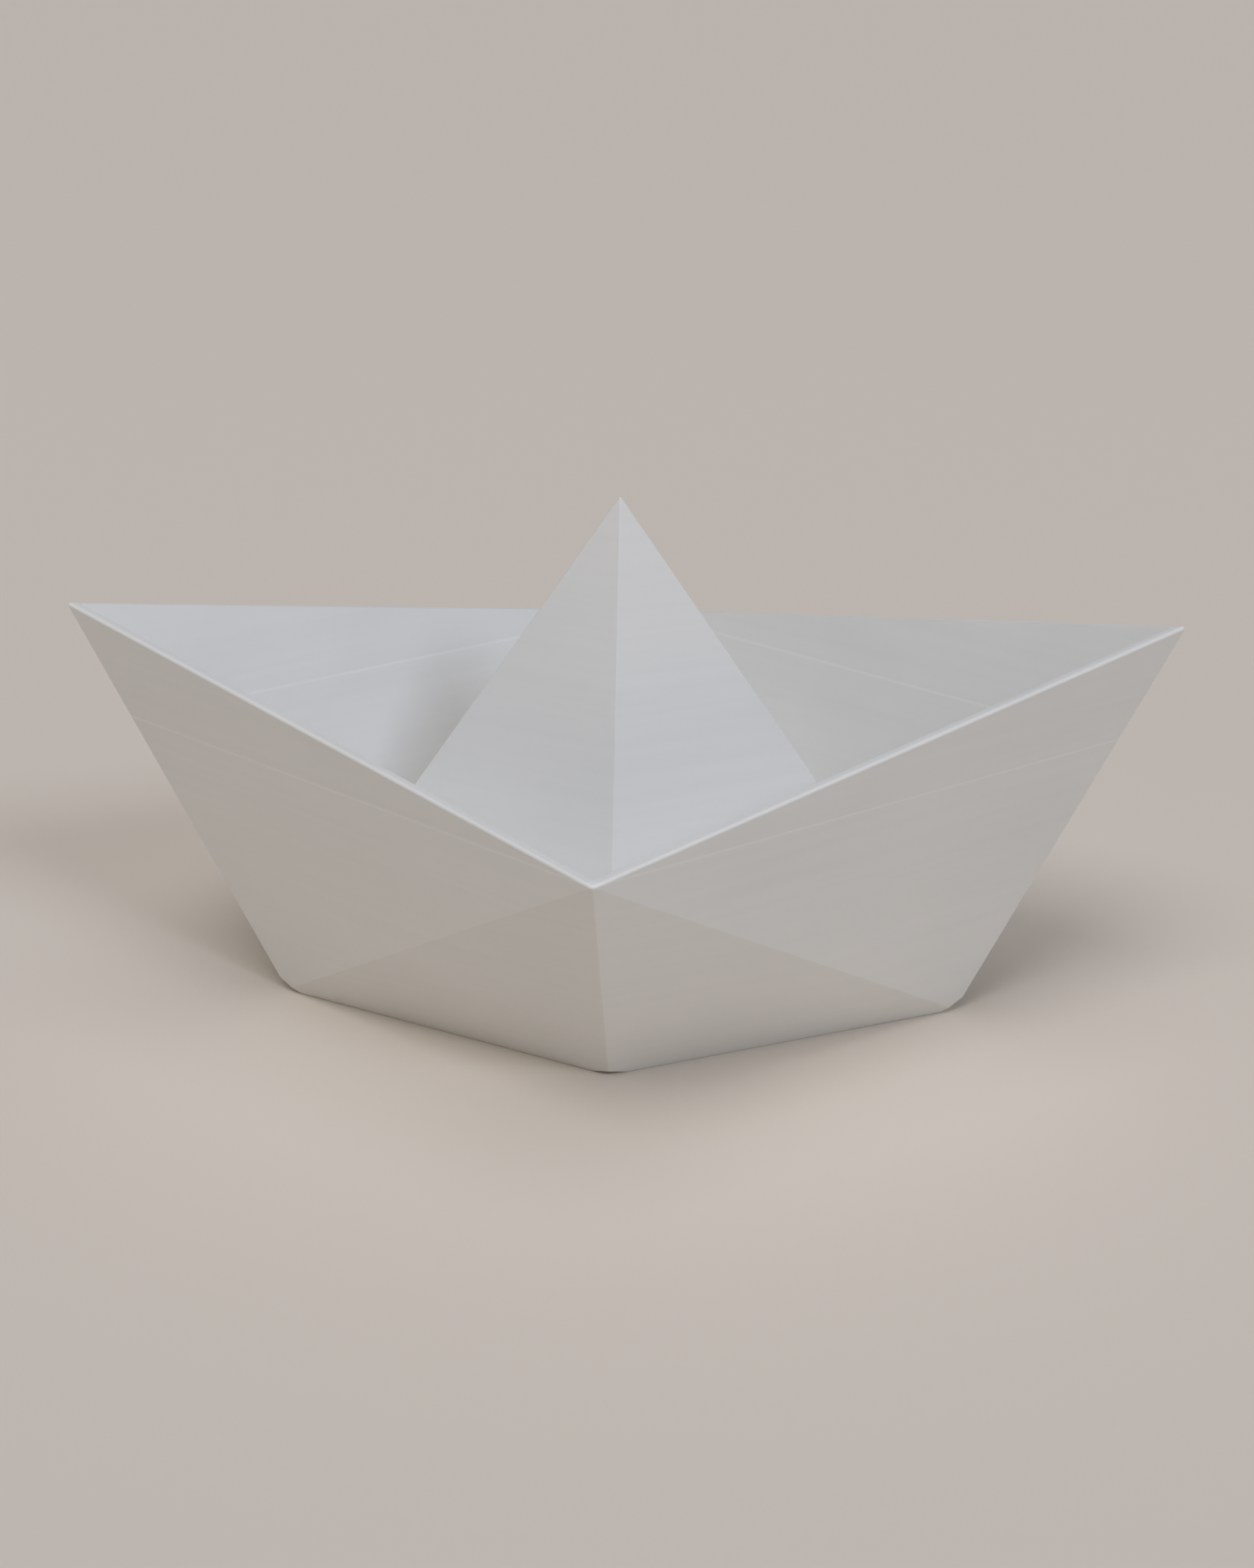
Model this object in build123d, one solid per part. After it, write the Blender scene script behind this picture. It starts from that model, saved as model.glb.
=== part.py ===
"""Boat in the form of a folded paper boat, printed in plastic as one piece.

The hull is a thin wall between an outer and an inner block of flat faces.  A four-sided solid
sail stands on the floor and leaves a narrow gutter all round its foot.  The boat mirrors about
the XZ and YZ planes: +X is lengthways, +Y across and +Z up, and the origin lies under the
sail's peak on the flat base.  Lengths are millimetres.
"""
from build123d import *
import os

# Overall form, to the sharp corners before any rounding
LENGTH = 200.0          # bow tip to bow tip
TIP_HEIGHT = 76.9       # base to either bow tip
BEAM = 139.6            # across the hull at the low points of its rim
RIM_LOW_HEIGHT = 55.3   # base to the low points of the rim
BASE_LENGTH = 127.5     # flat base, lengthways
BASE_BEAM = 58.8        # flat base, across
SAIL_HEIGHT = 98.9      # base to the sail's peak

# Walls and small shapes
WALL = 1.6              # hull wall, square to its faces
FLOOR = 6.0             # thickness under the gutter
GUTTER = 0.7            # gap between the sail's foot and the wall, at each corner of the foot
HULL_EDGE_RADIUS = 0.5  # rounding of the hull's outer edges, the rim's outer edge among them
SAIL_EDGE_RADIUS = 0.3  # rounding of the sail's ridges and peak
END_RELIEF = 3.3        # bevel across each sharp end of the base, along the base and the stem
SIDE_RELIEF = 1.6       # bevel across each blunt side corner of the base

# Corners in the quarter with negative X and negative Y
TIP = Vector(-LENGTH / 2, 0, TIP_HEIGHT)
RIM_LOW = Vector(0, -BEAM / 2, RIM_LOW_HEIGHT)
BASE_END = Vector(-BASE_LENGTH / 2, 0, 0)
BASE_SIDE = Vector(0, -BASE_BEAM / 2, 0)
PEAK = Vector(0, 0, SAIL_HEIGHT)

INNER_POINT = Vector(0, 0, RIM_LOW_HEIGHT / 2)  # tells a face's inside from its outside
BLOCK_TOP = 2 * SAIL_HEIGHT                     # blocks are cut from stock that is this high


def face_plane(a, b, c):
    """Plane through three corners, with its normal pointing out of the hull."""
    normal = (b - a).cross(c - a).normalized()
    if normal.dot(a - INNER_POINT) < 0:
        normal = -normal
    return Plane(origin=a, z_dir=normal)


def bevel_plane(corner, up_edge, size, across):
    """Plane that takes the same size off the base and off the edge that rises from a corner."""
    low = corner - corner.normalized() * size
    high = corner + up_edge.normalized() * size
    return face_plane(low, high, low + across)


def mirrored(plane, flip_x, flip_y):
    """Mirror image of a plane about YZ where flip_x is -1 and about XZ where flip_y is -1."""
    origin, normal = plane.origin, plane.z_dir
    return Plane(
        origin=Vector(origin.X * flip_x, origin.Y * flip_y, origin.Z),
        z_dir=Vector(normal.X * flip_x, normal.Y * flip_y, normal.Z),
    )


def all_round(plane):
    """The plane with those of its mirror images that differ from it and from each other."""
    images = []
    for flip_x, flip_y in ((1, 1), (1, -1), (-1, 1), (-1, -1)):
        image = mirrored(plane, flip_x, flip_y)
        if all((image.z_dir - other.z_dir).length > 1e-6 for other in images):
            images.append(image)
    return images


def reach(plane, inset, direction, height):
    """Distance from the Z axis to the plane moved in by inset, along a level direction."""
    normal = plane.z_dir
    return (plane.origin.dot(normal) - inset - normal.Z * height) / direction.dot(normal)


def block(planes, inset, bottom):
    """Solid above a height and inside all the planes, each moved in by inset."""
    body = Pos(0, 0, bottom) * Box(
        2 * LENGTH, 2 * LENGTH, BLOCK_TOP - bottom, align=(Align.CENTER, Align.CENTER, Align.MIN)
    )
    for plane in planes:
        body = split(body, plane.offset(-inset), keep=Keep.BOTTOM)
    return body


def rounded_block(planes, radius, bottom):
    """The same with no inset and with every edge and corner rounded to the radius."""
    return offset(block(planes, radius, bottom + radius), amount=radius, kind=Kind.ARC)


def make_hull():
    """Wall, floor and rim.  Each half of the rim has its own slopes, so one half is cut first."""
    level = Vector(0, 0, 1).cross(RIM_LOW - TIP)     # across the rim, which is level that way
    rim = face_plane(TIP, RIM_LOW, TIP + level)
    rims = [rim, mirrored(rim, 1, -1)]
    outside = rounded_block(hull_faces + base_bevels + rims, HULL_EDGE_RADIUS, 0)
    half = split(outside - block(hull_faces, WALL, FLOOR), Plane.YZ, keep=Keep.BOTTOM)
    return half + mirror(half, about=Plane.YZ)


def make_sail():
    """Four-sided sail, its foot sunk a little into the floor that it grows out of."""
    foot_end = Vector(-reach(upper_face, WALL, Vector(-1, 0, 0), FLOOR) + GUTTER, 0, FLOOR)
    foot_side = Vector(0, -reach(lower_face, WALL, Vector(0, -1, 0), FLOOR) + GUTTER, FLOOR)
    faces = all_round(face_plane(PEAK, foot_end, foot_side))
    return rounded_block(faces, SAIL_EDGE_RADIUS, FLOOR - 2 * SAIL_EDGE_RADIUS)


upper_face = face_plane(TIP, RIM_LOW, BASE_END)
lower_face = face_plane(RIM_LOW, BASE_END, BASE_SIDE)
hull_faces = all_round(upper_face) + all_round(lower_face)
end_bevel = bevel_plane(BASE_END, TIP - BASE_END, END_RELIEF, Vector(0, 1, 0))
side_bevel = bevel_plane(BASE_SIDE, RIM_LOW - BASE_SIDE, SIDE_RELIEF, Vector(1, 0, 0))
base_bevels = all_round(end_bevel) + all_round(side_bevel)

boat = make_hull() + make_sail()

os.makedirs("parts", exist_ok=True)
export_step(boat, "parts/boat.step")
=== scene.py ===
"""Looks of the printed boat: its surface, the studio and the camera.

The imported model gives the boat's shape, and it is right as it comes.  A copy of it, with its
last sharp edges softened as a printer's round nozzle leaves them, takes its place.
Lengths are metres; MM turns millimetres into them.
"""

import math

import bpy
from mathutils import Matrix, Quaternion, Vector


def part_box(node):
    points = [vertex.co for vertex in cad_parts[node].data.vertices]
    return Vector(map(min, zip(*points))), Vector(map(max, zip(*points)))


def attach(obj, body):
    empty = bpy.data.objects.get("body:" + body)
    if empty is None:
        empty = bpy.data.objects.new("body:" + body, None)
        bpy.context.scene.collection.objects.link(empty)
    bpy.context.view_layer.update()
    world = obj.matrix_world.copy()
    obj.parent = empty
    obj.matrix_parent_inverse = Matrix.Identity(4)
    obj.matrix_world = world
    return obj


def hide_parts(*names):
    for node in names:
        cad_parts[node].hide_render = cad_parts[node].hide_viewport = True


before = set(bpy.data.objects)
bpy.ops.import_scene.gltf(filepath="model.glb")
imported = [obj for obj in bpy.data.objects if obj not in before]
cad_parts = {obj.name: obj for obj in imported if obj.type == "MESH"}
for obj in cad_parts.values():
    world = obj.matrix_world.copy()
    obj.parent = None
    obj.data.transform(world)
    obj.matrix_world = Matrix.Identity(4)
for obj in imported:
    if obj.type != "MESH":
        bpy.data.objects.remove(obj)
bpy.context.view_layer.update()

MM = 0.001
LOW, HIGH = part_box("boat")
SPAN = HIGH.x - LOW.x
FLOOR_SIZE = 40 * SPAN

# The level at which the printer's path parts in two, at the low points of the rim
SEAM_HEIGHT = 55.3 * MM
# At that level the sail is all nearer to the upright axis than this, and the hull all farther
SAIL_REACH = 40 * MM
SEAM_HALF_HEIGHT = 0.25 * MM

# Streaks in the surface: how high one is, and how long along the layers
STREAKS = ((1.8 * MM, 60 * MM), (0.9 * MM, 35 * MM))
PATCH = 30 * MM
GRAIN = 0.7 * MM

# What is merged, flattened, softened and shaded smooth on the copy of the model
MERGE_WITHIN = 0.002 * MM
FLAT_WITHIN = math.radians(0.3)
SOFTENING = 0.25 * MM
SHARP_ABOVE = math.radians(32)
SMOOTH_BELOW = math.radians(14)

# The camera: degrees round to the right, up and rolled, metres away, and where it aims
CAMERA_ANGLES = (3.38, 27.36, 0.24)
CAMERA_DISTANCE = 0.45
AIM_RIGHT = 0.00146
AIM_UP = 0.04109
LENS = 54.2
SENSOR = 36.0

# Sockets of the colour mix node: its two colours, and its result
MIX_FIRST = 6
MIX_SECOND = 7
MIX_RESULT = 2


def linear(hex_colour):
    """Linear colour with full alpha from an sRGB hex value."""
    channels = [int(hex_colour[i:i + 2], 16) / 255 for i in (1, 3, 5)]
    curve = [c / 12.92 if c <= 0.04045 else ((c + 0.055) / 1.055) ** 2.4 for c in channels]
    return (*curve, 1.0)


def add_node(tree, kind, settings=None, inputs=None, links=None):
    """Adds a shader node, with its settings, its socket values and links from other sockets."""
    node = tree.nodes.new(kind)
    for name, value in (settings or {}).items():
        setattr(node, name, value)
    for name, value in (inputs or {}).items():
        node.inputs[name].default_value = value
    for name, source in (links or {}).items():
        tree.links.new(source, node.inputs[name])
    return node


def new_material(name):
    """Empty node material and its tree."""
    material = bpy.data.materials.new(name)
    material.use_nodes = True
    material.node_tree.nodes.clear()
    return material, material.node_tree


def printed_white_pla():
    """White PLA laid down in level layers: opaque, satin, a little light lost into the plastic.

    The eye sees smooth flat faces with faint level streaks, a slight mottle where the flow of
    plastic varied, and one level line where the rim's low points begin.  Single layers, 0.2 mm
    thick, are too fine to show, so the streaks stand for groups of five to nine layers.
    """
    material, tree = new_material("printed_white_pla")
    place = add_node(tree, "ShaderNodeTexCoord").outputs["Object"]

    # Streaks: noise that is long along the layers and short across them
    streaks = []
    for pitch, along in STREAKS:
        stretched = add_node(
            tree, "ShaderNodeMapping",
            inputs={"Scale": (1 / along, 1 / along, 1 / pitch)},
            links={"Vector": place},
        )
        streaks.append(add_node(
            tree, "ShaderNodeTexNoise",
            inputs={"Scale": 1.0, "Detail": 2.0, "Roughness": 0.5},
            links={"Vector": stretched.outputs["Vector"]},
        ).outputs["Fac"])
    both = add_node(
        tree, "ShaderNodeMath", {"operation": "ADD"},
        links={0: streaks[0], 1: streaks[1]},
    ).outputs[0]

    # Mottle: soft patches a few centimetres wide and grain well under a millimetre
    patches = add_node(
        tree, "ShaderNodeTexNoise",
        inputs={"Scale": 1 / PATCH, "Detail": 2.0},
        links={"Vector": place},
    ).outputs["Fac"]
    grain = add_node(
        tree, "ShaderNodeTexNoise",
        inputs={"Scale": 1 / GRAIN, "Detail": 2.0, "Roughness": 0.7},
        links={"Vector": place},
    ).outputs["Fac"]

    # Seam: 1 on the hull inside a band 0.5 mm high at the rim's low points, 0 elsewhere
    height = add_node(tree, "ShaderNodeSeparateXYZ", links={0: place}).outputs["Z"]
    band = add_node(
        tree, "ShaderNodeMath", {"operation": "COMPARE"},
        inputs={1: SEAM_HEIGHT, 2: SEAM_HALF_HEIGHT},
        links={0: height},
    ).outputs[0]
    level = add_node(
        tree, "ShaderNodeVectorMath", {"operation": "MULTIPLY"},
        inputs={1: (1, 1, 0)},
        links={0: place},
    ).outputs["Vector"]
    outward = add_node(
        tree, "ShaderNodeVectorMath", {"operation": "LENGTH"},
        links={0: level},
    ).outputs["Value"]
    on_hull = add_node(
        tree, "ShaderNodeMath", {"operation": "GREATER_THAN"},
        inputs={1: SAIL_REACH},
        links={0: outward},
    ).outputs[0]
    seam = add_node(
        tree, "ShaderNodeMath", {"operation": "MULTIPLY"},
        links={0: band, 1: on_hull},
    ).outputs[0]

    tint = add_node(
        tree, "ShaderNodeMix", {"data_type": "RGBA"},
        inputs={MIX_FIRST: linear("#e6e6e3"), MIX_SECOND: linear("#eeedea")},
        links={0: patches},
    ).outputs[MIX_RESULT]
    streaked = add_node(
        tree, "ShaderNodeMix", {"data_type": "RGBA", "blend_type": "MULTIPLY"},
        inputs={MIX_SECOND: linear("#f9f9f8")},
        links={0: streaks[0], MIX_FIRST: tint},
    ).outputs[MIX_RESULT]
    lined = add_node(
        tree, "ShaderNodeMix", {"data_type": "RGBA"},
        inputs={MIX_SECOND: linear("#ecece9")},
        links={0: seam, MIX_FIRST: streaked},
    ).outputs[MIX_RESULT]

    roughness = add_node(
        tree, "ShaderNodeMapRange",
        inputs={"To Min": 0.44, "To Max": 0.56},
        links={"Value": patches},
    ).outputs["Result"]

    relief = add_node(
        tree, "ShaderNodeBump",
        inputs={"Strength": 0.2, "Distance": 0.04 * MM},
        links={"Height": both},
    ).outputs["Normal"]
    relief = add_node(
        tree, "ShaderNodeBump",
        inputs={"Strength": 0.2, "Distance": 0.03 * MM},
        links={"Height": grain, "Normal": relief},
    ).outputs["Normal"]
    relief = add_node(
        tree, "ShaderNodeBump",
        inputs={"Strength": 0.05, "Distance": 0.02 * MM},
        links={"Height": seam, "Normal": relief},
    ).outputs["Normal"]

    plastic = add_node(
        tree, "ShaderNodeBsdfPrincipled",
        inputs={"IOR": 1.46, "Specular IOR Level": 0.5},
        links={"Base Color": lined, "Roughness": roughness, "Normal": relief},
    )
    add_node(tree, "ShaderNodeOutputMaterial", links={"Surface": plastic.outputs["BSDF"]})
    return material


def studio_paper():
    """Matt paper in a pale warm grey: plain, and it throws a warm light up under the hull."""
    material, tree = new_material("studio_paper")
    paper = add_node(
        tree, "ShaderNodeBsdfPrincipled",
        inputs={"Base Color": linear("#e4dacd"), "Roughness": 0.9, "Specular IOR Level": 0.2},
    )
    add_node(tree, "ShaderNodeOutputMaterial", links={"Surface": paper.outputs["BSDF"]})
    return material


def deselect():
    """Nothing selected, so that the next operator acts only on what is added or picked."""
    bpy.ops.object.select_all(action="DESELECT")


def finished_boat(material):
    """Copy of the boat with its doubles merged and its last sharp edges softened."""
    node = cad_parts["boat"]
    boat = bpy.data.objects.new("printed_boat", node.data.copy())
    bpy.context.scene.collection.objects.link(boat)
    deselect()
    boat.select_set(True)
    bpy.context.view_layer.objects.active = boat
    bpy.ops.object.mode_set(mode="EDIT")
    bpy.ops.mesh.select_all(action="SELECT")
    bpy.ops.mesh.customdata_custom_splitnormals_clear()
    bpy.ops.mesh.remove_doubles(threshold=MERGE_WITHIN)
    bpy.ops.mesh.dissolve_limited(angle_limit=FLAT_WITHIN)
    bpy.ops.object.mode_set(mode="OBJECT")

    # What is still sharp: the rim's inner edge, the hull's inside corners and the gutter's edges
    soft = boat.modifiers.new("soft_edges", "BEVEL")
    soft.width = SOFTENING
    soft.segments = 3
    soft.limit_method = "ANGLE"
    soft.angle_limit = SHARP_ABOVE
    soft.use_clamp_overlap = True
    bpy.ops.object.modifier_apply(modifier=soft.name)
    bpy.ops.object.shade_smooth_by_angle(angle=SMOOTH_BELOW)
    boat.data.materials.clear()
    boat.data.materials.append(material)
    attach(boat, "root")
    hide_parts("boat")


def studio_floor(material):
    """Plain flat floor that ends far off, where the room round it is about as pale."""
    deselect()
    bpy.ops.mesh.primitive_plane_add(size=FLOOR_SIZE, location=(0, 0, 0))
    floor = bpy.context.object
    floor.name = "studio_floor"
    floor.data.materials.append(material)


def soft_sun(name, azimuth, elevation, spread, strength, colour):
    """Far soft light that reaches the whole floor evenly; angles are in degrees.

    Azimuth 0 is in front of the boat and grows to the right.
    """
    lamp = bpy.data.lights.new(name, "SUN")
    lamp.angle = math.radians(spread)
    lamp.energy = strength
    lamp.color = linear(colour)[:3]
    light = bpy.data.objects.new(name, lamp)
    bpy.context.scene.collection.objects.link(light)
    around, above = math.radians(azimuth), math.radians(elevation)
    towards = Vector((
        math.sin(around) * math.cos(above),
        -math.cos(around) * math.cos(above),
        math.sin(above),
    ))
    light.rotation_euler = towards.to_track_quat("Z", "Y").to_euler()


def studio_light():
    """Room that is dim overhead and pale at floor level, with a cool key and two soft fills."""
    world = bpy.data.worlds.new("studio")
    bpy.context.scene.world = world
    world.use_nodes = True
    tree = world.node_tree
    tree.nodes.clear()
    direction = add_node(tree, "ShaderNodeTexCoord").outputs["Generated"]
    upward = add_node(tree, "ShaderNodeSeparateXYZ", links={0: direction}).outputs["Z"]
    strength = add_node(
        tree, "ShaderNodeMapRange", {"interpolation_type": "SMOOTHSTEP"},
        inputs={"From Min": 0.05, "From Max": 0.3, "To Min": 0.55, "To Max": 0.13},
        links={"Value": upward},
    ).outputs["Result"]
    room = add_node(
        tree, "ShaderNodeBackground",
        inputs={"Color": linear("#f3ebe2")},
        links={"Strength": strength},
    )
    add_node(tree, "ShaderNodeOutputWorld", links={"Surface": room.outputs["Background"]})
    soft_sun("key", azimuth=40, elevation=38, spread=16, strength=0.74, colour="#dfeaff")
    soft_sun("overhead", azimuth=30, elevation=82, spread=42, strength=0.58, colour="#f2f5ff")
    soft_sun("front_fill", azimuth=-20, elevation=59, spread=28, strength=0.96, colour="#fbfbff")


def camera():
    """View from a little above the boat, a hand's reach away, and very slightly from the right."""
    azimuth, elevation, roll = (math.radians(angle) for angle in CAMERA_ANGLES)
    back = Vector((
        math.sin(azimuth) * math.cos(elevation),
        -math.cos(azimuth) * math.cos(elevation),
        math.sin(elevation),
    ))
    right = Vector((math.cos(azimuth), math.sin(azimuth), 0))
    up = back.cross(right)
    eye = back * CAMERA_DISTANCE
    target = right * AIM_RIGHT + up * AIM_UP
    lens = bpy.data.cameras.new("camera")
    lens.sensor_width = SENSOR
    lens.lens = LENS
    lens.clip_start = 0.01
    view = bpy.data.objects.new("camera", lens)
    bpy.context.scene.collection.objects.link(view)
    view.location = eye
    turn = (target - eye).to_track_quat("-Z", "Y").to_matrix()
    roll_by = turn @ Vector((0, 0, 1))
    view.rotation_euler = (Quaternion(roll_by, roll).to_matrix() @ turn).to_euler()
    bpy.context.scene.camera = view


camera()
finished_boat(printed_white_pla())
studio_floor(studio_paper())
studio_light()

scene = bpy.context.scene
scene.view_settings.view_transform = "Standard"

bpy.context.view_layer.update()
